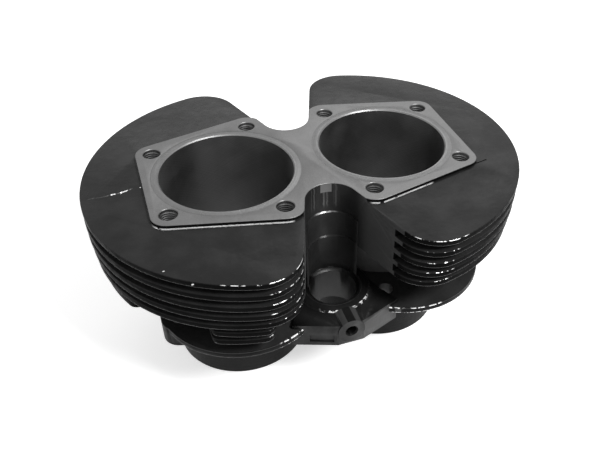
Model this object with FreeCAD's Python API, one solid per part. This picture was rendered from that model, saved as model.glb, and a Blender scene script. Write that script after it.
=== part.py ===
"""Cast-iron barrel of an air-cooled parallel-twin engine, one casting.

Z is up, X runs along the line of the two bores and +Y points to the rear of the engine.
The origin is under the middle of the barrel, on the plane of the two spigot ends, so the
barrel stands on its spigots. All lengths are millimetres.
"""
import FreeCAD, Part
import math
import os

from FreeCAD import Vector

# Bores, spigots and overall height
HEIGHT = 114.7
BORE_RADIUS = 34.5
BORE_SPACING = 86.14
BORE_CHAMFER = 0.6
SPIGOT_RADIUS = 37.63
SPIGOT_LENGTH = 42.7
SPIGOT_CHAMFER = 1.2
WALL_RADIUS = 40.0

# Gasket deck and head bolts
DECK_STEP = 2.3
DECK_EDGE = 9.95
DECK_END = 85.7
HEAD_BOLT_INNER = (23.16, 39.20)
HEAD_BOLT_OUTER = (77.23, 27.59)
HEAD_BOLT_RADIUS = 4.4
HEAD_BOLT_DEPTH = 28.0
COLUMN_RADIUS = 8.6

# Push-rod channels, front and rear
CHANNEL_Y = 41.25
CHANNEL_RADIUS = 13.4
CHANNEL_FLARE = 18.5
CHANNEL_WALL = 4.0
CHANNEL_WALL_END = 67.0
LEDGES = ((17.5, 1.3), (32.5, 2.9))
LEDGE_FOOT_HEIGHT = 9.0
LEDGE_FOOT_CLEARANCE = 1.8

# Cooling fins, from the top down: reach along X and plan radius of each
FIN_THICKNESS = 3.05
FIN_PITCH = 7.3
FIN_REACH = (115.8, 115.8, 115.6, 115.0, 114.3)
FIN_PLAN_RADIUS = (88.7, 87.8, 86.9, 85.0, 82.9)
FIN_CORNER_RADIUS = 20.0

# Short ribs under the last fin: a pair before the left cylinder and one at each end
RIB_PLAN_RADIUS = (80.6, 77.6)
RIB_REACH = 112.0
RIB_X = (-69.5, -40.0)
RIB_CORNER_RADIUS = 5.0
END_RIB_REACH = 107.2
END_RIB_HALF_LENGTH = 41.0

# Web that joins the two cylinders
WEB_HALF_WIDTH = 12.0

# Base flange with its thin front and rear lip
FLANGE_THICKNESS = 11.5
FLANGE_LENGTH = 181.0
LIP_THICKNESS = 3.5
LIP_ARC_RADIUS = 44.5
LIP_ARC_CENTRE = (46.0, 26.2)
STUD_INNER = (27.3, 50.8)
STUD_OUTER = (81.5, 35.0)
STUD_RADIUS = 4.1
STUD_BOSS_RADIUS = 9.0

# Tappet bosses with their bores, locking-screw bosses and screw holes. The boss and the
# block rise from the flange's top, the screw from its underside.
TAPPET_Y = 42.3
TAPPET_RADIUS = 12.7
TAPPET_CHAMFER = 1.5
TAPPET_BOSS_RISE = 3.7
TAPPET_BOSS_RADIUS = 20.0
TAPPET_BOSS_BEVEL = 0.9
TAPPET_SLEEVE_RADIUS = 16.5
TAPPET_SLEEVE_LENGTH = 5.8
BLOCK_RISE = 2.5
BLOCK_NOSE_Y = 70.9
BLOCK_NOSE_HALF_WIDTH = 7.0
BLOCK_SHOULDER = (29.0, 62.6)
SCREW_RISE = 9.2
SCREW_BOSS_RADIUS = 7.3
SCREW_BOSS_PROUD = 0.9
SCREW_HOLE_RADIUS = 2.35

FLANGE_BOTTOM = SPIGOT_LENGTH
FLANGE_TOP = FLANGE_BOTTOM + FLANGE_THICKNESS
TAPPET_BOSS_TOP = FLANGE_TOP + TAPPET_BOSS_RISE
BORE_X = BORE_SPACING / 2
SIDES = (-1, 1)


def level(depth):
    """Height of a plane that lies depth below the gasket deck."""
    return HEIGHT - depth


def cylinder(x, y, radius, low, high):
    return Part.makeCylinder(radius, high - low, Vector(x, y, low))


def cone(x, y, radius_low, radius_high, low, high):
    return Part.makeCone(radius_low, radius_high, high - low, Vector(x, y, low))


def box(x0, x1, y0, y1, z0, z1):
    return Part.makeBox(x1 - x0, y1 - y0, z1 - z0, Vector(x0, y0, z0))


def prism(points, low, high):
    """Upright solid on a closed outline of straight edges."""
    wire = Part.makePolygon([Vector(x, y, low) for x, y in points + points[:1]])
    return Part.Face(wire).extrude(Vector(0, 0, high - low))


def hull_of_circles(circles, low, high):
    """Upright solid on the outline that a belt would take round a ring of circles.

    Each circle is (x, y, radius), and the circles are listed counter-clockwise.
    """
    solid = None
    centres = [(x, y) for x, y, radius in circles]
    for index, (x0, y0, r0) in enumerate(circles):
        x1, y1, r1 = circles[(index + 1) % len(circles)]
        heading = math.atan2(y1 - y0, x1 - x0)
        lean = math.asin((r0 - r1) / math.hypot(x1 - x0, y1 - y0))
        normal = heading - math.pi / 2 + lean
        nx, ny = math.cos(normal), math.sin(normal)
        side = [(x0, y0), (x0 + r0 * nx, y0 + r0 * ny), (x1 + r1 * nx, y1 + r1 * ny), (x1, y1)]
        pieces = [prism(side, low, high), cylinder(x0, y0, r0, low, high)]
        solid = pieces[0].multiFuse(pieces[1:] + ([solid] if solid else []))
    if len(centres) > 2:
        solid = solid.fuse(prism(centres, low, high))
    return solid.removeSplitter()


def mirrored(solid):
    """The solid with its mirror image on the other side of the plane between the bores."""
    return solid.fuse(solid.mirror(Vector(0, 0, 0), Vector(1, 0, 0)))


def channel(radius, low, high, end=200.0):
    """Space of both push-rod channels: a round back and two sides that flare outwards."""
    flare = math.radians(CHANNEL_FLARE)
    nx, ny = math.cos(flare), -math.sin(flare)
    run = (end - CHANNEL_Y - radius * ny) / math.cos(flare)
    spaces = []
    for side in SIDES:
        outline = [
            (nx * radius, side * (CHANNEL_Y + ny * radius)),
            (nx * radius + run * math.sin(flare), side * end),
            (-nx * radius - run * math.sin(flare), side * end),
            (-nx * radius, side * (CHANNEL_Y + ny * radius)),
        ]
        spaces.append(prism(outline, low, high).fuse(cylinder(0, side * CHANNEL_Y, radius, low, high)))
    return spaces[0].fuse(spaces[1]).removeSplitter()


def edges_where(solid, test):
    return [edge for edge in solid.Edges if test(edge)]


def is_upright(edge):
    box_of_edge = edge.BoundBox
    return box_of_edge.ZLength > 0.5 and box_of_edge.XLength < 1e-4 and box_of_edge.YLength < 1e-4


def lies_at(edge, height):
    return abs(edge.BoundBox.ZMin - height) < 1e-4 and abs(edge.BoundBox.ZMax - height) < 1e-4


def lobes(reach, radius, low, high):
    """Plan shape of a fin before the channels are taken out: two round lobes."""
    centre = reach - radius
    return cylinder(-centre, 0, radius, low, high).fuse(cylinder(centre, 0, radius, low, high))


def fin(index):
    """One cooling fin, with rounded corners at the channels."""
    low = level(DECK_STEP + index * FIN_PITCH + FIN_THICKNESS)
    high = low + FIN_THICKNESS
    plate = lobes(FIN_REACH[index], FIN_PLAN_RADIUS[index], low, high).removeSplitter()
    plate = plate.cut(channel(CHANNEL_RADIUS, low - 1, high + 1))
    corners = edges_where(plate, lambda e: is_upright(e) and abs(e.BoundBox.YMin) > CHANNEL_WALL_END)
    return plate.makeFillet(FIN_CORNER_RADIUS, corners)


def ribs():
    """Two short ribs before the left cylinder, and one at each end of the barrel."""
    made = []
    for step, radius in enumerate(RIB_PLAN_RADIUS):
        low = level(DECK_STEP + (len(FIN_REACH) + step) * FIN_PITCH + FIN_THICKNESS)
        high = low + FIN_THICKNESS
        band = box(RIB_X[0], RIB_X[1], -100, 0, low, high)
        plate = cylinder(radius - RIB_REACH, 0, radius, low, high).common(band)
        corners = edges_where(plate, lambda e: is_upright(e) and e.BoundBox.YMax < -50)
        made.append(plate.makeFillet(RIB_CORNER_RADIUS, corners))
    low = level(DECK_STEP + len(FIN_REACH) * FIN_PITCH + FIN_THICKNESS)
    high = low + FIN_THICKNESS
    band = box(BORE_X, 120, -END_RIB_HALF_LENGTH, END_RIB_HALF_LENGTH, low, high)
    plate = cylinder(END_RIB_REACH - FIN_PLAN_RADIUS[-1], 0, FIN_PLAN_RADIUS[-1], low, high).common(band)
    corners = edges_where(plate, lambda e: is_upright(e) and e.BoundBox.XMin > BORE_X + 1)
    made.append(mirrored(plate.makeFillet(RIB_CORNER_RADIUS, corners)))
    return made


def notched_plate(edge, corner, low, high):
    """Upright solid whose outline follows the head bolts and is notched by the channels.

    edge is the distance of the outline from the inner bolts, corner that from the outer ones.
    """
    inner_x, inner_y = HEAD_BOLT_INNER
    outer_x, outer_y = HEAD_BOLT_OUTER
    ring = [
        (outer_x, -outer_y, corner),
        (outer_x, outer_y, corner),
        (inner_x, inner_y, edge),
        (inner_x, -inner_y, edge),
    ]
    waist = box(-inner_x, inner_x, -inner_y, inner_y, low, high)
    plate = mirrored(hull_of_circles(ring, low, high)).fuse(waist)
    return plate.cut(channel(CHANNEL_RADIUS, low - 1, high + 1)).removeSplitter()


def deck():
    """Raised gasket deck."""
    return notched_plate(DECK_EDGE, DECK_END - HEAD_BOLT_OUTER[0], level(DECK_STEP + FIN_THICKNESS / 2), HEIGHT)


def barrels():
    """The two barrel walls, the mass with the head-bolt threads and the web between the barrels."""
    last_fin = level(DECK_STEP + (len(FIN_REACH) - 1) * FIN_PITCH + FIN_THICKNESS / 2)
    parts = [notched_plate(COLUMN_RADIUS, COLUMN_RADIUS, last_fin, level(DECK_STEP))]
    for side in SIDES:
        parts.append(cylinder(side * BORE_X, 0, WALL_RADIUS, FLANGE_BOTTOM, last_fin))
    web = box(-WEB_HALF_WIDTH, WEB_HALF_WIDTH, -CHANNEL_Y, CHANNEL_Y, FLANGE_TOP - 1, last_fin)
    parts.append(web.cut(channel(CHANNEL_RADIUS, FLANGE_TOP - 2, HEIGHT)))
    return parts


def channel_back(side):
    """Two crescent ledges cast on the round back of one channel, which lean back at the foot."""
    foot_end = TAPPET_BOSS_TOP + LEDGE_FOOT_CLEARANCE
    foot_start = foot_end + LEDGE_FOOT_HEIGHT
    half = box(-20, 20, min(0, side * CHANNEL_Y), max(0, side * CHANNEL_Y), foot_end, HEIGHT)
    lean = cone(0, side * CHANNEL_Y, CHANNEL_RADIUS, CHANNEL_RADIUS - LEDGES[-1][1], foot_end, foot_start)
    pieces = []
    for depth, proud in LEDGES:
        cast = cylinder(0, side * CHANNEL_Y, CHANNEL_RADIUS + 0.5, foot_end, level(depth))
        hollow = cylinder(0, side * (CHANNEL_Y + proud), CHANNEL_RADIUS, foot_end - 1, HEIGHT)
        pieces.append(cast.cut(hollow).cut(lean).common(half))
    return pieces


def channel_walls():
    """Upright walls that close the fins along both sides of each channel."""
    last_fin = len(FIN_REACH) - 1
    low = level(DECK_STEP + last_fin * FIN_PITCH + FIN_THICKNESS)
    high = level(DECK_STEP)
    outside = channel(CHANNEL_RADIUS + CHANNEL_WALL, low, high, CHANNEL_WALL_END)
    return outside.cut(channel(CHANNEL_RADIUS, low - 1, high + 1))


def flange():
    """Base flange: a thick land round the studs and a thin lip that overhangs it."""
    arc_x, arc_y = LIP_ARC_CENTRE
    end_x = FLANGE_LENGTH / 2
    arcs = [(x, y, LIP_ARC_RADIUS) for x, y in
            ((arc_x, -arc_y), (arc_x, arc_y), (-arc_x, arc_y), (-arc_x, -arc_y))]
    lip = hull_of_circles(arcs[:2], FLANGE_TOP - LIP_THICKNESS, FLANGE_TOP)
    lip = mirrored(lip)
    lip = lip.common(box(-end_x, end_x, -100, 100, FLANGE_BOTTOM, FLANGE_TOP))
    land_studs = (STUD_OUTER, STUD_INNER)
    ring = [(STUD_OUTER[0], -STUD_OUTER[1], STUD_BOSS_RADIUS)]
    ring += [(x, y, STUD_BOSS_RADIUS) for x, y in land_studs]
    ring += [(-x, y, STUD_BOSS_RADIUS) for x, y in reversed(land_studs)]
    ring += [(-x, -y, STUD_BOSS_RADIUS) for x, y in land_studs]
    ring += [(STUD_INNER[0], -STUD_INNER[1], STUD_BOSS_RADIUS)]
    land = hull_of_circles(ring, FLANGE_BOTTOM, FLANGE_TOP)
    return [lip.removeSplitter(), land]


def tappet_block(side):
    """Block on the flange, front (side -1) or rear (side 1), that holds the tappet guide."""
    shoulder_x, shoulder_y = BLOCK_SHOULDER
    nose_x = BLOCK_NOSE_HALF_WIDTH
    outline = [
        (-shoulder_x, side * shoulder_y),
        (-nose_x, side * BLOCK_NOSE_Y),
        (nose_x, side * BLOCK_NOSE_Y),
        (shoulder_x, side * shoulder_y),
        (shoulder_x - 6, side * STUD_INNER[1]),
        (CHANNEL_RADIUS, side * 25.0),
        (-CHANNEL_RADIUS, side * 25.0),
        (6 - shoulder_x, side * STUD_INNER[1]),
    ]
    top = TAPPET_BOSS_TOP
    block = prism(outline, FLANGE_BOTTOM, FLANGE_TOP + BLOCK_RISE)
    crown = cylinder(0, side * TAPPET_Y, TAPPET_BOSS_RADIUS, FLANGE_TOP, top)
    crown = crown.makeChamfer(TAPPET_BOSS_BEVEL, edges_where(crown, lambda e: lies_at(e, top)))
    sleeve = cylinder(0, side * TAPPET_Y, TAPPET_SLEEVE_RADIUS, FLANGE_BOTTOM - TAPPET_SLEEVE_LENGTH,
                      FLANGE_BOTTOM)
    boss_y = TAPPET_Y + TAPPET_BOSS_RADIUS - TAPPET_BOSS_BEVEL
    boss = Part.makeCylinder(SCREW_BOSS_RADIUS, BLOCK_NOSE_Y + SCREW_BOSS_PROUD - boss_y,
                             Vector(0, side * boss_y, FLANGE_BOTTOM + SCREW_RISE), Vector(0, side, 0))
    return block.multiFuse([crown, sleeve, boss]).removeSplitter()


def bore_cuts():
    """Everything drilled or turned out of the casting."""
    cuts = []
    for side in SIDES:
        x = side * BORE_X
        cuts.append(cylinder(x, 0, BORE_RADIUS, -1, HEIGHT + 1))
        cuts.append(cone(x, 0, BORE_RADIUS, BORE_RADIUS + BORE_CHAMFER + 0.1,
                         HEIGHT - BORE_CHAMFER, HEIGHT + 0.1))
        for bolt_x, bolt_y in (HEAD_BOLT_INNER, HEAD_BOLT_OUTER):
            for end in SIDES:
                cuts.append(cylinder(side * bolt_x, end * bolt_y, HEAD_BOLT_RADIUS,
                                     level(HEAD_BOLT_DEPTH), HEIGHT + 1))
        for stud_x, stud_y in (STUD_INNER, STUD_OUTER):
            for end in SIDES:
                cuts.append(cylinder(side * stud_x, end * stud_y, STUD_RADIUS, FLANGE_BOTTOM - 1,
                                     FLANGE_TOP + 5))
        mouth = TAPPET_BOSS_TOP
        cuts.append(cylinder(0, side * TAPPET_Y, TAPPET_RADIUS, FLANGE_BOTTOM - TAPPET_SLEEVE_LENGTH - 1,
                             mouth))
        cuts.append(cone(0, side * TAPPET_Y, TAPPET_RADIUS, TAPPET_RADIUS + TAPPET_CHAMFER,
                         mouth - TAPPET_CHAMFER, mouth))
        screw_start = Vector(0, side * TAPPET_Y, FLANGE_BOTTOM + SCREW_RISE)
        cuts.append(Part.makeCylinder(SCREW_HOLE_RADIUS, 60, screw_start, Vector(0, side, 0)))
    return cuts


def casting():
    solids = [deck()] + [fin(index) for index in range(len(FIN_REACH))] + ribs() + barrels()
    solids += [channel_walls()] + flange() + [tappet_block(side) for side in SIDES]
    solids += [piece for side in SIDES for piece in channel_back(side)]
    for side in SIDES:
        spigot = cylinder(side * BORE_X, 0, SPIGOT_RADIUS, SPIGOT_CHAMFER, FLANGE_BOTTOM)
        lead = cone(side * BORE_X, 0, SPIGOT_RADIUS - SPIGOT_CHAMFER, SPIGOT_RADIUS, 0, SPIGOT_CHAMFER)
        solids += [spigot, lead]
    body = solids[0].multiFuse(solids[1:]).removeSplitter()
    for cut in bore_cuts():
        body = body.cut(cut)
    return body.removeSplitter()


def main():
    os.makedirs("parts", exist_ok=True)
    body = casting()
    solids = body.Solids
    print("solids", len(solids), "valid", body.isValid(), "volume", round(body.Volume), body.BoundBox)
    solids[0].exportStep("parts/cylinder_barrel.step")


main()
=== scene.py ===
import math

import bmesh
import bpy
from mathutils import Matrix, Vector, noise


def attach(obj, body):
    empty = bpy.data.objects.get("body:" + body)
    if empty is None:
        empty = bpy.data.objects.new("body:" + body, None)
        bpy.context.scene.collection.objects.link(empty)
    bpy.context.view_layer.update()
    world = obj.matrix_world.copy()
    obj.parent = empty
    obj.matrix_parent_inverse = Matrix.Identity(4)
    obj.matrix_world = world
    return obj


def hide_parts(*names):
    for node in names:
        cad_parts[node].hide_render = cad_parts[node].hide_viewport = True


MM = 0.001

# The casting's main sizes, in metres
HEIGHT = 114.7 * MM
BORE_X = 43.07 * MM
BORE_RADIUS = 34.5 * MM
DECK_FOOT = HEIGHT - 2.3 * MM
HEAD_BOLTS = ((23.16 * MM, 39.20 * MM), (77.23 * MM, 27.59 * MM))
HEAD_BOLT_RADIUS = 4.4 * MM
STUDS = ((27.3 * MM, 50.8 * MM), (81.5 * MM, 35.0 * MM))
STUD_RADIUS = 4.1 * MM
TAPPET_Y = 42.3 * MM
TAPPET_RADIUS = 12.7 * MM
TAPPET_MOUTH = 57.9 * MM
BOSS_RADIUS = 20 * MM
FLANGE_BOTTOM = 42.7 * MM
FLANGE_TOP = 54.2 * MM
FLANGE_END = 90.5 * MM
BLOCK_TOP = 56.7 * MM
BLOCK_NOSE = (7.0 * MM, 70.9 * MM)
BLOCK_SHOULDER = (29.0 * MM, 62.6 * MM)
SCREW_Z = 51.9 * MM
SCREW_RADIUS = 2.35 * MM
SCREW_FACE_Y = 71.8 * MM

# Heights and reaches that tell one kind of face from another
FIN_ZONE = 60 * MM
BELOW_FINS = 78 * MM
BELOW_HEAD_BOLTS = 80 * MM
BARREL_REACH = 46 * MM
LIP_FROM_X = 18 * MM

# Details that only this script has
FIN_ROUND = 0.9 * MM
FOOT_ROUND = 0.55 * MM
LIP_ROUND = 0.6 * MM
BOLT_CHAMFER = 0.45 * MM
DECK_CHAMFER = 0.2 * MM
RING_RADIUS = 38.2 * MM
RING_HALF_WIDTH = 0.5 * MM
RING_DEPTH = 0.3 * MM
POCKET_X = 14.8 * MM
POCKET_Z = 47.4 * MM
POCKET_SIZE = (12.5 * MM, 1.8 * MM, 5.2 * MM)
SCORE_PLACE = (85.4 * MM, -33.0 * MM, DECK_FOOT)
SCORE_SIZE = (11.2 * MM, 0.9 * MM, 0.9 * MM)
SCORE_TURN = math.radians(12)
COUNTERSINK_RADII = (2.0 * MM, 3.7 * MM)
COUNTERSINK_DEPTH = 1.7 * MM
END_RIB = (72.7 * MM, 76.1 * MM)
END_RIB_FROM = 88 * MM
END_RIB_MORE = 5.3 * MM
THREAD_GAP = 0.03 * MM
HEAD_THREAD = {"depth": 19 * MM, "pitch": 1.27 * MM, "height": 0.62 * MM}
HEAD_THREAD_START = 1.2 * MM
SCREW_THREAD = {"depth": 12 * MM, "pitch": 0.8 * MM, "height": 0.35 * MM}
SCREW_THREAD_START = 0.6 * MM

# How far a face or an edge may lie from a height or a radius and still belong to it
SLACK = 0.1 * MM
HAIR = 0.02 * MM

# Brightness of the painted highlights along the edges, coloured as clean metal
GLINT_METAL_GREY = 0.85

# The flash line's route and the grains of sand on the top fin: x, y and a grain's radius, in millimetres
FLASH_ROUTE = ((-112.1, 0.2), (-106.0, -0.2), (-99.8, 0.3), (-95.4, 0.6), (-89.3, 3.0))
GRAINS = ((-99.8, 0.3, 0.55), (-95.4, 0.7, 0.7), (-93.9, 0.9, 0.5), (-86.5, 2.0, 0.5), (-85.3, -64.1, 0.5),
          (-75.0, -76.4, 0.5))

# Floor, world and lamps, in metres and shares of full light
FLOOR_HALF = 6
FLOOR_GLOW = 0.55
WORLD_LIGHT = 0.5
AIM_HEIGHT = 0.08

# Camera solved on the bores, the head-bolt holes and the spigots, with its picture in pixels
PICTURE = (600, 450)
FOCAL_LENGTH = 703.0
CENTRE = (352.1, 222.0)
SENSOR = 36
RIGHT = (0.93637, -0.35048, 0.01911)
UP = (0.20419, 0.58820, 0.78252)
BACK = (-0.28550, -0.72883, 0.62234)
FROM_DECK = (-91.348 * MM, -301.533 * MM, 205.075 * MM)

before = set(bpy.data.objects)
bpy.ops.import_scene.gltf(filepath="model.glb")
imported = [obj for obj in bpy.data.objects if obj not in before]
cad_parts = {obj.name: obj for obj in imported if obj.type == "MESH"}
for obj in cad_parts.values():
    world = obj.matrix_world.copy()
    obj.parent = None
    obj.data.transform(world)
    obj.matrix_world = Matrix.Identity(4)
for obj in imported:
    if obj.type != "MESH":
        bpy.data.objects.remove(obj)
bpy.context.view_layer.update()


def new_object(name, data):
    obj = bpy.data.objects.new(name, data)
    bpy.context.collection.objects.link(obj)
    return obj


def new_mesh(name, edit):
    mesh = bpy.data.meshes.new(name)
    edit.to_mesh(mesh)
    edit.free()
    return mesh


def belongs(obj):
    """The piece rides on the casting's body."""
    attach(obj, "root")


# Materials

def node_of(tree, kind, inputs=None, **settings):
    node = tree.nodes.new(kind)
    for name, value in settings.items():
        setattr(node, name, value)
    for name, value in (inputs or {}).items():
        if hasattr(value, "is_output"):
            tree.links.new(value, node.inputs[name])
        else:
            node.inputs[name].default_value = value
    return node


class Shader:
    """A Principled material with short ways to write the maths that feeds it."""

    def __init__(self, name, **values):
        self.name = name
        self.material = bpy.data.materials.new(name)
        self.material.use_nodes = True
        self.tree = self.material.node_tree
        self.bsdf = self.tree.nodes["Principled BSDF"]
        for key, value in values.items():
            self.bsdf.inputs[key.replace("_", " ")].default_value = value
        self.place = self.node("ShaderNodeTexCoord").outputs["Object"]
        parts = self.node("ShaderNodeSeparateXYZ", {"Vector": self.place})
        self.x, self.y, self.z = parts.outputs

    def node(self, kind, inputs=None, **settings):
        return node_of(self.tree, kind, inputs, **settings)

    def math(self, operation, a, b=0.0):
        return self.node("ShaderNodeMath", {0: a, 1: b}, operation=operation).outputs[0]

    def product(self, first, *others):
        for each in others:
            first = self.math("MULTIPLY", first, each)
        return first

    def ramp(self, value, low, high, to_low=0.0, to_high=1.0):
        inputs = {"Value": value, "From Min": low, "From Max": high, "To Min": to_low, "To Max": to_high}
        return self.node("ShaderNodeMapRange", inputs, interpolation_type="SMOOTHSTEP").outputs[0]

    def noise(self, scale, detail=2.0, stretch=None):
        vector = self.place
        if stretch:
            vector = self.node("ShaderNodeMapping", {"Vector": vector, "Scale": stretch}).outputs[0]
        inputs = {"Vector": vector, "Scale": scale, "Detail": detail}
        return self.node("ShaderNodeTexNoise", inputs).outputs["Fac"]

    def lines(self, along, scale, detail=3.0):
        """Noise in one direction only, for tool marks."""
        inputs = {"W": along, "Scale": scale, "Detail": detail}
        return self.node("ShaderNodeTexNoise", inputs, noise_dimensions="1D").outputs["Fac"]

    def mix(self, factor, a, b):
        """Mix of two colours."""
        node = self.node("ShaderNodeMix", data_type="RGBA")
        for socket, value in ((node.inputs[0], factor), (node.inputs[6], a), (node.inputs[7], b)):
            if hasattr(value, "is_output"):
                self.tree.links.new(value, socket)
            else:
                socket.default_value = value
        return node.outputs[2]

    def blend(self, factor, a, b):
        """Mix of two plain values."""
        return self.node("ShaderNodeMix", {0: factor, 2: a, 3: b}, data_type="FLOAT").outputs[0]

    def feed(self, socket, value):
        self.tree.links.new(value, self.bsdf.inputs[socket])

    def source(self, socket):
        return self.bsdf.inputs[socket].links[0].from_socket

    def bump(self, height, distance, normal=None):
        inputs = {"Height": height, "Distance": distance, "Strength": 1.0}
        if normal:
            inputs["Normal"] = normal
        return self.node("ShaderNodeBump", inputs).outputs[0]

    def zone(self, low_x, high_x, soft=3 * MM):
        """1 between two places along the casting, fading to 0 outside them."""
        rise = self.ramp(self.x, low_x - soft, low_x)
        return self.product(rise, self.ramp(self.x, high_x, high_x + soft, 1.0, 0.0))

    def either(self, zones):
        total = zones[0]
        for each in zones[1:]:
            total = self.math("MAXIMUM", total, each)
        return total

    def distance(self, a, b):
        return self.math("SQRT", self.math("ADD", self.product(a, a), self.product(b, b)))

    def across_bore(self):
        """Offset along x from the axis of the nearer bore."""
        return self.math("SUBTRACT", self.math("ABSOLUTE", self.x), BORE_X)

    def across_tappet(self):
        """Offset along y from the axis of the nearer tappet bore."""
        return self.math("SUBTRACT", self.math("ABSOLUTE", self.y), TAPPET_Y)

    def bore_radius(self):
        return self.distance(self.across_bore(), self.y)

    def bore_angle(self):
        return self.math("ARCTAN2", self.y, self.across_bore())

    def tappet_angle(self):
        return self.math("ARCTAN2", self.across_tappet(), self.x)


def grey(value, warmth=0.0):
    return (value * (1 + warmth), value, value * (1 - warmth), 1)


def paint(name, greys, shine, roughness, peel):
    """Black enamel over a sand casting, between two greys, with the casting's grain and orange peel."""
    s = Shader(name, Specular_IOR_Level=shine)
    s.feed("Base Color", s.mix(s.ramp(s.noise(60, 4), 0.35, 0.7), grey(greys[0]), grey(greys[1])))
    s.feed("Roughness", s.ramp(s.noise(220, 3), 0.3, 0.7, roughness, roughness + 0.1))
    waves = s.bump(s.noise(110, 2), 0.6 * MM * peel)
    dimples = s.bump(s.noise(420, 2), 0.12 * MM * peel, waves)
    s.feed("Normal", s.bump(s.noise(1500, 2), 0.03 * MM * peel, dimples))
    return s


def add_metal(s, mask, value):
    """Bare metal where the mask is 1, over whatever the shader has."""
    s.feed("Base Color", s.mix(mask, s.source("Base Color"), grey(value)))
    s.feed("Roughness", s.blend(mask, s.source("Roughness"), 0.34))
    s.feed("Metallic", mask)


def painted_glints(s, zones, coverage):
    """Painted highlights: bright metal-coloured specks in broken lines along parts of the casting's front
    edges, where the lamp glints.
    """
    front = s.ramp(s.y, -30 * MM, -28 * MM, 1.0, 0.0)
    glint_specks = s.ramp(s.noise(330, 3), 0.53 - coverage, 0.57 - coverage)
    places = s.either([s.zone(low * MM, high * MM) for low, high in zones])
    add_metal(s, s.product(glint_specks, front, places), GLINT_METAL_GREY)
    return s


def top_edge_paint():
    """Upper rims of the fins, darker than the top faces as painted shade, with painted highlights: bright
    metal-coloured specks on both lobes' fronts, most on the top fin.
    """
    s = paint("top_edge_paint", (0.006, 0.012), shine=0.08, roughness=0.22, peel=1.6)
    top = s.ramp(s.z, HEIGHT - 7 * MM, HEIGHT - 6 * MM)
    long = s.either([s.zone(-62 * MM, -28 * MM), s.zone(29 * MM, 50 * MM)])
    short = s.either([s.zone(-42 * MM, -26 * MM), s.zone(34 * MM, 46 * MM)])
    front = s.ramp(s.y, -58 * MM, -55 * MM, 1.0, 0.0)
    grain = s.noise(430, 3)
    many = s.product(long, s.ramp(grain, 0.45, 0.51))
    few = s.product(short, s.ramp(grain, 0.53, 0.60))
    add_metal(s, s.product(s.blend(top, few, many), front), GLINT_METAL_GREY)
    return s


def crown_paint():
    """Top of a tappet boss: a bare ring round the bore's mouth, then paint."""
    s = paint("crown_paint", (0.006, 0.012), shine=0.08, roughness=0.3, peel=1.0)
    radius = s.distance(s.across_tappet(), s.x)
    add_metal(s, s.ramp(radius, 15.3 * MM, 15.7 * MM, 1.0, 0.0), 0.09)
    return s


def channel_paint():
    """Dull paint in the push-rod channel, with a bare patch and streaks under the deck's edge, and the walls
    further out painted lighter to lift their shade.
    """
    s = paint("channel_paint", (0.012, 0.018), shine=0.03, roughness=0.45, peel=0.4)
    depth = s.math("ABSOLUTE", s.y)
    lifted_shade_walls = s.ramp(depth, 38 * MM, 50 * MM)
    s.feed("Base Color", s.mix(lifted_shade_walls, s.source("Base Color"), grey(0.05)))
    back = s.ramp(depth, 29.5 * MM, 31.0 * MM, 1.0, 0.0)
    under_deck = s.ramp(s.z, HEIGHT - 5.6 * MM, HEIGHT - 5.0 * MM)
    patch = s.product(under_deck, s.zone(-1.6 * MM, 3.8 * MM, 0.4 * MM), 0.85)
    wavy = s.math("ADD", s.x, s.product(s.lines(s.z, 300), 1.0 * MM))
    upper = s.ramp(s.z, HEIGHT - 16 * MM, HEIGHT - 12 * MM)
    streaks = s.product(s.ramp(s.lines(wavy, 700), 0.5, 0.62), upper, 0.3)
    add_metal(s, s.product(s.math("MAXIMUM", patch, streaks), back), 0.13)
    return s


def ledge_paint():
    """Upper faces of the ledges, with a painted highlight in bare-metal colour along part of their length.
    """
    s = paint("ledge_paint", (0.014, 0.020), shine=0.1, roughness=0.35, peel=0.5)
    ledge_highlight = s.ramp(s.noise(500, 2), 0.35, 0.55, 0.5, 1.0)
    add_metal(s, s.product(s.zone(-3.5 * MM, 4.5 * MM), ledge_highlight), 0.16)
    return s


def deck_metal():
    """Faced deck with a turned ring round each bore."""
    s = Shader("machined_deck", Metallic=1.0)
    radius = s.bore_radius()
    ring = s.ramp(radius, RING_RADIUS - 0.15 * MM, RING_RADIUS + 0.15 * MM, 1.0, 0.0)
    groove = s.product(s.ramp(radius, RING_RADIUS - 0.45 * MM, RING_RADIUS),
                       s.ramp(radius, RING_RADIUS, RING_RADIUS + 0.5 * MM, 1.0, 0.0))
    stain = s.noise(70, 5)
    cloudy = s.mix(s.ramp(stain, 0.3, 0.75), grey(0.124, 0.01), grey(0.178))
    fine = s.mix(s.ramp(s.noise(420, 5), 0.35, 0.65, 0.88, 1.08), grey(0.11), grey(0.172))
    colour = s.mix(0.5, cloudy, fine)
    colour = s.mix(s.product(ring, 0.35), colour, grey(0.22))
    # Painted shade: a darker line along the ring groove.
    colour = s.mix(s.product(groove, 0.3), colour, grey(0.07))
    speck = s.ramp(s.noise(2300, 2), 0.35, 0.65, 0.0, 0.35)
    s.feed("Base Color", s.mix(speck, colour, grey(0.24)))
    dull = s.ramp(stain, 0.3, 0.7, 0.40, 0.50)
    bright = s.ramp(stain, 0.3, 0.7, 0.27, 0.34)
    s.feed("Roughness", s.blend(ring, dull, bright))
    straight = s.product(s.noise(1.0, 3, stretch=(90, 3800, 1)), 0.5)
    marks = s.blend(ring, straight, s.lines(radius, 5200, 2))
    s.feed("Normal", s.bump(marks, 0.09 * MM, s.bump(stain, 0.6 * MM)))
    return s


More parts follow.
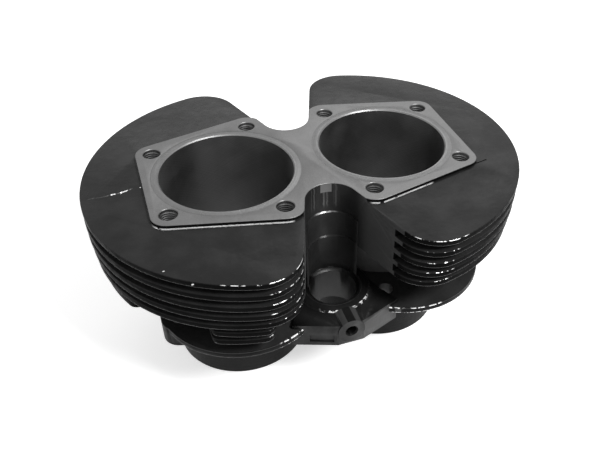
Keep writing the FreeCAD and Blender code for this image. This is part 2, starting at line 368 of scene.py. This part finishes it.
def honed_metal(name, value, radius, angle_of):
    """Wall of a bore with the cross-hatch of a hone."""
    s = Shader(name, Metallic=1.0)
    around = s.product(angle_of(s), radius, 0.55)
    rise = s.product(s.z, 0.83)
    up = s.lines(s.math("ADD", around, rise), 2600, 2)
    down = s.lines(s.math("SUBTRACT", around, rise), 2600, 2)
    hatch = s.math("ADD", up, down)
    s.feed("Base Color", s.mix(s.ramp(hatch, 0.8, 1.2), grey(value * 0.9), grey(value * 1.1)))
    s.feed("Roughness", s.ramp(s.noise(45, 4), 0.3, 0.7, 0.38, 0.50))
    s.feed("Normal", s.bump(hatch, 0.03 * MM))
    return s


def turned_metal():
    """Spigots turned in a lathe, with the fine rings that leaves, coloured near black as painted shade."""
    s = Shader("turned_spigot", Specular_IOR_Level=0.04)
    rings = s.lines(s.math("ADD", s.z, s.bore_radius()), 3600, 2)
    cloud = s.noise(40, 4)
    s.feed("Base Color", s.mix(s.ramp(cloud, 0.3, 0.7), grey(0.006), grey(0.010)))
    s.feed("Roughness", s.ramp(cloud, 0.3, 0.7, 0.36, 0.46))
    s.feed("Normal", s.bump(rings, 0.05 * MM))
    return s


def milled_metal(name, greys, roughness):
    """Bare faces with the fine marks of a mill, darker left of the middle."""
    s = Shader(name, Metallic=1.0)
    marks = s.noise(1.0, 3, stretch=(2200, 2200, 160))
    stain = s.noise(130, 5)
    darker_left = s.ramp(s.x, -7 * MM, 3 * MM, 0.55, 0.0)
    clean = s.mix(s.ramp(stain, 0.3, 0.7), grey(greys[0]), grey(greys[1]))
    s.feed("Base Color", s.mix(darker_left, clean, grey(greys[0] * 0.3)))
    s.feed("Roughness", s.ramp(stain, 0.3, 0.7, roughness, roughness + 0.1))
    s.feed("Normal", s.bump(marks, 0.06 * MM, s.bump(stain, 0.3 * MM)))
    return s


def thread_metal():
    """Cut threads, clean in the deck's holes and near black in the locking screws' holes as painted shade.
    """
    s = Shader("thread_metal", Metallic=1.0, Roughness=0.5)
    screw_hole_shade = s.ramp(s.math("ABSOLUTE", s.y), 50 * MM, 52 * MM)
    clean = s.mix(s.ramp(s.noise(130, 5), 0.3, 0.7), grey(0.11), grey(0.19))
    s.feed("Base Color", s.mix(screw_hole_shade, clean, grey(0.008)))
    return s


# Darker paint for the bevelled edges, as painted shade.
def dark_edge(name, greys, shine):
    return paint(name, greys, shine, roughness=0.25, peel=1.0)


FINISHES = (
    paint("black_paint", (0.017, 0.026), shine=0.08, roughness=0.2, peel=0.5),
    # Lit and shaded copies of the black paint: the flange's is lighter, lifting its shade; the side and rim
    # paints are darker, as painted shade; the root's is much lighter, lifting the shade deep under the fins;
    # the low edges' is lighter and shinier, a painted highlight along them.
    paint("flange_lifted_shade_paint", (0.020, 0.028), shine=0.08, roughness=0.3, peel=1.0),
    paint("side_shade_paint", (0.006, 0.012), shine=0.04, roughness=0.3, peel=1.0),
    paint("root_lifted_shade_paint", (0.07, 0.09), shine=0.04, roughness=0.4, peel=1.0),
    paint("rim_shade_paint", (0.003, 0.005), shine=0.01, roughness=0.3, peel=1.0),
    paint("low_edge_highlight_paint", (0.020, 0.030), shine=0.6, roughness=0.25, peel=0.5),
    top_edge_paint(),
    # The edge bevels take darker greys than the top faces, as painted shade, and the specks on them are
    # painted highlights.
    painted_glints(dark_edge("foot_edge", (0.006, 0.012), 0.1), ((-83, -24), (20, 52)), 0.18),
    painted_glints(dark_edge("crown_edge", (0.006, 0.012), 0.1), ((-10, 13),), 0.04),
    painted_glints(dark_edge("lip_edge", (0.008, 0.014), 0.3), ((-35, -17), (24, 50)), 0.05),
    channel_paint(),
    ledge_paint(),
    crown_paint(),
    deck_metal(),
    honed_metal("honed_bore", 0.20, BORE_RADIUS, Shader.bore_angle),
    turned_metal(),
    milled_metal("milled_face", (0.035, 0.07), 0.42),
    milled_metal("flange_end", (0.03, 0.05), 0.55),
    milled_metal("drilled_hole", (0.04, 0.08), 0.45),
    # The tappet bores take a far darker copy of the honed metal, as painted shade deep in the block.
    honed_metal("tappet_bore", 0.04, TAPPET_RADIUS, Shader.tappet_angle),
)


# The casting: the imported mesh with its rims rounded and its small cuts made

def level_edges(edit, low, high, convex, test=None):
    """Sharp edges between a level face and an upright one, with both ends between two heights."""
    found = []
    for edge in edit.edges:
        if len(edge.link_faces) != 2 or edge.is_convex != convex:
            continue
        heights = [v.co.z for v in edge.verts]
        if min(heights) < low or max(heights) > high:
            continue
        side, flat = sorted(abs(face.normal.z) for face in edge.link_faces)
        if flat < 0.99 or side > 0.1:
            continue
        middle = (edge.verts[0].co + edge.verts[1].co) / 2
        if test is None or test(middle):
            found.append(edge)
    return found


def round_over(edit, edges, width, segments, clamp=True):
    bmesh.ops.bevel(edit, geom=edges, offset=width, offset_type="OFFSET", segments=segments, profile=0.5,
                    affect="EDGES", clamp_overlap=clamp)


def at_hole(middle, places, radius):
    """Is a place on the wall of one of the holes that lie in all four quarters?"""
    return any(abs(math.hypot(abs(middle.x) - x, abs(middle.y) - y) - radius) < 2 * SLACK for x, y in places)


def at_bolt(middle):
    return at_hole(middle, HEAD_BOLTS, HEAD_BOLT_RADIUS)


def off_bolt(middle):
    return not at_bolt(middle)


def off_channel_back(middle):
    return abs(middle.x) > 14 * MM or abs(middle.y) > 50 * MM


def on_flange_rim(middle):
    return abs(middle.x) > LIP_FROM_X and not at_hole(middle, STUDS, STUD_RADIUS)


def ring_cutter(edit, x):
    """V groove turned in the deck round a bore."""
    around = 96
    proud = 0.05 * MM
    profile = ((RING_RADIUS - RING_HALF_WIDTH, proud), (RING_RADIUS + RING_HALF_WIDTH, proud),
               (RING_RADIUS, -RING_DEPTH))
    rows = []
    for r, rise in profile:
        turns = [2 * math.pi * k / around for k in range(around)]
        rows.append([edit.verts.new((x + r * math.cos(a), r * math.sin(a), HEIGHT + rise)) for a in turns])
    for index, row in enumerate(rows):
        after = rows[(index + 1) % len(rows)]
        for k in range(around):
            edit.faces.new((row[k], after[k], after[(k + 1) % around], row[(k + 1) % around]))


def box_cutter(edit, centre, size, turn):
    made = bmesh.ops.create_cube(edit, size=1.0)["verts"]
    place = Matrix.Translation(centre) @ Matrix.Rotation(turn, 4, "Z") @ Matrix.Diagonal((*size, 1.0))
    bmesh.ops.transform(edit, matrix=place, verts=made)


def pocket_cutter(edit):
    """Shallow pocket left of the nose in the front block's slanting face."""
    run = BLOCK_SHOULDER[0] - BLOCK_NOSE[0]
    rise = BLOCK_SHOULDER[1] - BLOCK_NOSE[1]
    y = BLOCK_NOSE[1] + (POCKET_X - BLOCK_NOSE[0]) / run * rise
    box_cutter(edit, Vector((-POCKET_X, -y, POCKET_Z)), POCKET_SIZE, math.atan2(rise, run))


def countersink_cutter(edit, side):
    """Countersink of a locking screw's hole."""
    proud = 0.2 * MM
    made = bmesh.ops.create_cone(edit, cap_ends=True, segments=32, radius1=COUNTERSINK_RADII[0],
                                 radius2=COUNTERSINK_RADII[1], depth=COUNTERSINK_DEPTH)["verts"]
    place = Matrix.Translation((0, side * (SCREW_FACE_Y + proud - COUNTERSINK_DEPTH / 2), SCREW_Z))
    place = place @ Vector((0, 0, 1)).rotation_difference(Vector((0, side, 0))).to_matrix().to_4x4()
    bmesh.ops.transform(edit, matrix=place, verts=made)


def machined(mesh):
    """The casting with its ring grooves, pocket, countersinks and score mark cut."""
    edit = bmesh.new()
    for side in (-1, 1):
        ring_cutter(edit, side * BORE_X)
        countersink_cutter(edit, side)
    pocket_cutter(edit)
    box_cutter(edit, Vector(SCORE_PLACE), SCORE_SIZE, SCORE_TURN)
    bmesh.ops.recalc_face_normals(edit, faces=edit.faces)
    blank = new_object("blank", mesh)
    tool = new_object("cutters", new_mesh("cutters", edit))
    difference = blank.modifiers.new("cuts", "BOOLEAN")
    difference.operation = "DIFFERENCE"
    difference.solver = "EXACT"
    difference.object = tool
    graph = bpy.context.evaluated_depsgraph_get()
    result = bpy.data.meshes.new_from_object(blank.evaluated_get(graph))
    for each in (blank, tool):
        old = each.data
        bpy.data.objects.remove(each)
        bpy.data.meshes.remove(old)
    return result


def casting_mesh():
    edit = bmesh.new()
    edit.from_mesh(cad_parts["cylinder_barrel"].data)
    bmesh.ops.remove_doubles(edit, verts=edit.verts, dist=0.002 * MM)
    bmesh.ops.dissolve_limit(edit, angle_limit=math.radians(0.25), verts=edit.verts, edges=edit.edges)
    for vert in edit.verts:
        if END_RIB[0] < vert.co.z < END_RIB[1] and abs(vert.co.x) > END_RIB_FROM:
            vert.co.x += math.copysign(END_RIB_MORE, vert.co.x)
    round_over(edit, level_edges(edit, FIN_ZONE, DECK_FOOT + SLACK, True, off_channel_back), FIN_ROUND, 3)
    foot = level_edges(edit, DECK_FOOT - SLACK, DECK_FOOT + SLACK, False)
    round_over(edit, foot, FOOT_ROUND, 2, clamp=False)
    lip = level_edges(edit, FLANGE_TOP - 3.6 * MM, FLANGE_TOP + SLACK, True, on_flange_rim)
    round_over(edit, lip, LIP_ROUND, 2)
    round_over(edit, level_edges(edit, HEIGHT - SLACK, HEIGHT + SLACK, True, at_bolt), BOLT_CHAMFER, 1)
    round_over(edit, level_edges(edit, HEIGHT - SLACK, HEIGHT + SLACK, True, off_bolt), DECK_CHAMFER, 1)
    result = machined(new_mesh("casting", edit))
    result.name = "casting"
    return result


def in_channel(x, y):
    """Is a place on the walls of a push-rod channel?"""
    half_width = 14.4 * MM + max(0.0, abs(y) - 41 * MM) * 0.3346
    return abs(x) < half_width and abs(y) < 67.5 * MM


def block_finish(x, z, forward):
    """Name of the finish on a tappet block's nose, where forward is the normal's share along y."""
    in_screw_hole = math.hypot(x, z - SCREW_Z) < COUNTERSINK_RADII[1] + 2 * SLACK
    # The screw hole's walls take the darker side paint, as painted shade in the hole.
    if in_screw_hole and forward < 0.98:
        return "side_shade_paint"
    return "milled_face" if forward > 0.9 else None


def bare_finish(face, level):
    """Name of the finish of a machined face, or None where the casting is painted."""
    x, y, z = face.center
    bore = math.hypot(abs(x) - BORE_X, y)
    tappet = math.hypot(x, abs(y) - TAPPET_Y)
    stud = min(math.hypot(abs(x) - sx, abs(y) - sy) for sx, sy in STUDS)
    bolt = min(math.hypot(abs(x) - bx, abs(y) - by) for bx, by in HEAD_BOLTS)
    if z > HEIGHT - 3 * SLACK and (level or bore > BORE_RADIUS + 1.5 * MM):
        return "machined_deck"
    if bore < BORE_RADIUS + 0.8 * MM and z > HAIR and not level:
        return "honed_bore"
    if bolt < HEAD_BOLT_RADIUS + SLACK and z > BELOW_HEAD_BOLTS:
        return "drilled_hole"
    if z < FLANGE_BOTTOM - HAIR:
        return "turned_spigot"
    if z < FLANGE_BOTTOM + HAIR:
        return "milled_face"
    if tappet < TAPPET_RADIUS + 1.8 * MM and z < TAPPET_MOUTH - HAIR:
        return "tappet_bore"
    if z < FLANGE_TOP + SLACK and stud < STUD_RADIUS + SLACK:
        return "drilled_hole"
    if z < FLANGE_TOP + SLACK and abs(x) > FLANGE_END - SLACK / 2:
        return "flange_end"
    if abs(y) > 55 * MM and abs(x) < BLOCK_SHOULDER[0] and z < BLOCK_TOP + 3 * MM:
        return block_finish(x, z, abs(face.normal.y))
    return None


def level_finish(x, y, z):
    """Name of the paint on a level face."""
    tappet = math.hypot(x, abs(y) - TAPPET_Y)
    if BLOCK_TOP + 0.5 * MM < z < TAPPET_MOUTH + SLACK and tappet < BOSS_RADIUS:
        return "crown_paint"
    if abs(x) < 13 * MM and abs(y) < 34 * MM and 75 * MM < z < DECK_FOOT - 1 * MM:
        return "ledge_paint"
    if z > FIN_ZONE:
        return "black_paint"
    # Low level faces: darker paint above the flange top as painted shade, and lighter paint on it, lifting
    # its shade.
    return "side_shade_paint" if z > FLANGE_TOP + 1 * MM else "flange_lifted_shade_paint"


def finish_of(face):
    """Name of the finish that a face of the casting has."""
    x, y, z = face.center
    slope = face.normal.z
    level = abs(slope) > 0.95
    bare = bare_finish(face, level)
    if bare:
        return bare
    if level:
        return level_finish(x, y, z)
    tappet = math.hypot(x, abs(y) - TAPPET_Y)
    if BOSS_RADIUS - 1.5 * MM < tappet < BOSS_RADIUS + 0.2 * MM and BLOCK_TOP < z < TAPPET_MOUTH + SLACK:
        return "crown_edge"
    if in_channel(x, y) and z > BLOCK_TOP:
        return "channel_paint"
    if abs(slope) > 0.12:
        if z > DECK_FOOT - SLACK / 2:
            return "foot_edge"
        if z > FIN_ZONE:
            return "top_edge_paint" if slope > 0 else "low_edge_highlight_paint"
        if z < FLANGE_TOP and abs(x) > LIP_FROM_X:
            return "lip_edge"
    bore = math.hypot(abs(x) - BORE_X, y)
    # Barrel walls under the fins beside the channel get a much lighter paint, lifting their shade; other
    # upright faces get darker paint as painted shade.
    if bore < BARREL_REACH and abs(y) > 15 * MM and abs(x) < 50 * MM and FLANGE_TOP < z < BELOW_FINS:
        return "root_lifted_shade_paint"
    return "rim_shade_paint" if z > FIN_ZONE else "side_shade_paint"


mesh = casting_mesh()
mesh.materials.clear()
for finish in FINISHES:
    mesh.materials.append(finish.material)
order = [finish.name for finish in FINISHES]
for face in mesh.polygons:
    face.material_index = order.index(finish_of(face))
    face.use_smooth = True
mesh.set_sharp_from_angle(angle=math.radians(32))
casting = new_object("casting", mesh)
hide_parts("cylinder_barrel")
belongs(casting)


# Flash and grains of sand that the mould left on the top fin

def flash_line(edit):
    """Low ridge from the mould's joint, from the top fin's rim to the deck."""
    points = [Vector((x * MM, y * MM, DECK_FOOT)) for x, y in FLASH_ROUTE]
    steps = 6
    sunk = -0.05 * MM
    rows = []
    for start, end in zip(points, points[1:]):
        for step in range(steps):
            spot = start.lerp(end, step / steps)
            wander = noise.noise(spot * 700)
            spot.y += wander * 0.35 * MM
            width = (0.45 + 0.2 * wander) * MM
            height = (0.28 + 0.2 * noise.noise(spot * 500)) * MM
            rows.append([edit.verts.new(spot + Vector(offset)) for offset in
                         ((0, -width, sunk), (0, 0, height), (0, width, sunk))])
    for near_row, far_row in zip(rows, rows[1:]):
        for k in (0, 1):
            edit.faces.new((near_row[k], far_row[k], far_row[k + 1], near_row[k + 1]))


def grain(edit, x, y, size):
    made = bmesh.ops.create_icosphere(edit, subdivisions=1, radius=size * MM)["verts"]
    squash = Matrix.Translation((x * MM, y * MM, DECK_FOOT)) @ Matrix.Diagonal((1.3, 0.9, 0.6, 1))
    bmesh.ops.transform(edit, matrix=squash, verts=made)


def flash():
    edit = bmesh.new()
    flash_line(edit)
    for x, y, size in GRAINS:
        grain(edit, x, y, size)
    bmesh.ops.recalc_face_normals(edit, faces=edit.faces)
    mesh = new_mesh("casting_flash", edit)
    s = paint("flash_paint", (0.02, 0.05), shine=0.3, roughness=0.3, peel=0.5)
    # Painted highlights: bright metal colour along parts of the flash line and its grains, where they catch
    # the lamp.
    flash_glints = ((-101, -99), (-96.5, -93), (-87.5, -74))
    add_metal(s, s.either([s.zone(low * MM, high * MM, 0.3 * MM) for low, high in flash_glints]), 0.7)
    mesh.materials.append(s.material)
    belongs(new_object("casting_flash", mesh))


flash()


# Screw threads in the head-bolt holes and the locking-screw holes

def thread(edit, start, axis, radius, depth, pitch, height):
    """Female thread: a helical ridge on the wall of a hole, from its mouth inwards."""
    around = 36
    per_turn = 4
    side = axis.orthogonal().normalized()
    other = axis.cross(side)
    grid = []
    for row in range(round(depth / pitch * per_turn) + 1):
        ring = []
        for step in range(around):
            turn = step / around
            phase = (row / per_turn - turn) % 1.0
            ridge = 1 - abs(2 * phase - 1)
            fade = min(1.0, row / per_turn)
            r = radius - THREAD_GAP - height * ridge * fade
            angle = 2 * math.pi * turn
            offset = side * (r * math.cos(angle)) + other * (r * math.sin(angle))
            ring.append(edit.verts.new(start + axis * (row * pitch / per_turn) + offset))
        grid.append(ring)
    for upper, lower in zip(grid, grid[1:]):
        for step in range(around):
            following = (step + 1) % around
            face = edit.faces.new((upper[step], lower[step], lower[following], upper[following]))
            face.smooth = True


def threads():
    edit = bmesh.new()
    for x, y in HEAD_BOLTS:
        for side_x in (-1, 1):
            for side_y in (-1, 1):
                mouth = Vector((side_x * x, side_y * y, HEIGHT - HEAD_THREAD_START))
                thread(edit, mouth, Vector((0, 0, -1)), HEAD_BOLT_RADIUS, **HEAD_THREAD)
    for side_y in (-1, 1):
        mouth = Vector((0, side_y * (SCREW_FACE_Y - SCREW_THREAD_START), SCREW_Z))
        thread(edit, mouth, Vector((0, -side_y, 0)), SCREW_RADIUS, **SCREW_THREAD)
    mesh = new_mesh("threads", edit)
    mesh.materials.append(thread_metal().material)
    belongs(new_object("threads", mesh))


threads()


# Floor, world and lamps

def shows_backdrop(tree):
    """1 for the rays that show the backdrop: the camera's, and those by way of metal or glass."""
    path = tree.nodes.new("ShaderNodeLightPath").outputs
    shown = path["Is Camera Ray"]
    for kind in ("Is Glossy Ray", "Is Transmission Ray"):
        shown = node_of(tree, "ShaderNodeMath", {0: shown, 1: path[kind]}, operation="MAXIMUM").outputs[0]
    return shown


def floor_material():
    """Pale floor that keeps the object's shadow and shows as white."""
    material = bpy.data.materials.new("floor")
    material.use_nodes = True
    tree = material.node_tree
    lit = tree.nodes["Principled BSDF"].inputs
    lit["Base Color"].default_value = (0.9, 0.9, 0.9, 1)
    lit["Roughness"].default_value = 0.9
    lit["Emission Color"].default_value = (1, 1, 1, 1)
    glow = node_of(tree, "ShaderNodeMath", {0: shows_backdrop(tree), 1: FLOOR_GLOW}, operation="MULTIPLY")
    tree.links.new(glow.outputs[0], lit["Emission Strength"])
    return material


def lamp(name, azimuth, elevation, distance, size, energy):
    """Square area lamp at two angles in degrees, aimed at the casting's middle."""
    data = bpy.data.lights.new(name, "AREA")
    data.shape = "RECTANGLE"
    data.size = size
    data.size_y = size
    data.energy = energy
    obj = new_object(name, data)
    azimuth = math.radians(azimuth)
    elevation = math.radians(elevation)
    aim = Vector((math.cos(azimuth) * math.cos(elevation), math.sin(azimuth) * math.cos(elevation),
                  math.sin(elevation)))
    obj.location = Vector((0, 0, AIM_HEIGHT)) + aim * distance
    obj.rotation_mode = "QUATERNION"
    obj.rotation_quaternion = (-aim).to_track_quat("-Z", "Y")


edit = bmesh.new()
bmesh.ops.create_grid(edit, x_segments=1, y_segments=1, size=FLOOR_HALF)
floor = new_object("floor", new_mesh("floor", edit))
floor.data.materials.append(floor_material())

world = bpy.data.worlds.new("studio")
bpy.context.scene.world = world
world.use_nodes = True
tree = world.node_tree
background = tree.nodes["Background"].inputs
shares = {"Value": shows_backdrop(tree), "To Min": WORLD_LIGHT, "To Max": 1.0}
strength = node_of(tree, "ShaderNodeMapRange", shares)
tree.links.new(strength.outputs[0], background["Strength"])
background["Color"].default_value = (1, 1, 1, 1)

lamp("key", azimuth=-62, elevation=48, distance=1.3, size=0.3, energy=15)
lamp("fill", azimuth=56, elevation=43, distance=1.6, size=0.8, energy=3.0)


# Camera

lens = bpy.data.cameras.new("camera")
lens.sensor_width = SENSOR
lens.lens = FOCAL_LENGTH / PICTURE[0] * SENSOR
lens.shift_x = -(CENTRE[0] - PICTURE[0] / 2) / PICTURE[0]
lens.shift_y = -(PICTURE[1] / 2 - CENTRE[1]) / PICTURE[0]
camera = new_object("camera", lens)
place = Matrix.Translation(Vector(FROM_DECK) + Vector((0, 0, HEIGHT)))
camera.matrix_world = place @ Matrix((RIGHT, UP, BACK)).transposed().to_4x4()
bpy.context.scene.camera = camera

bpy.context.scene.view_settings.view_transform = "Standard"
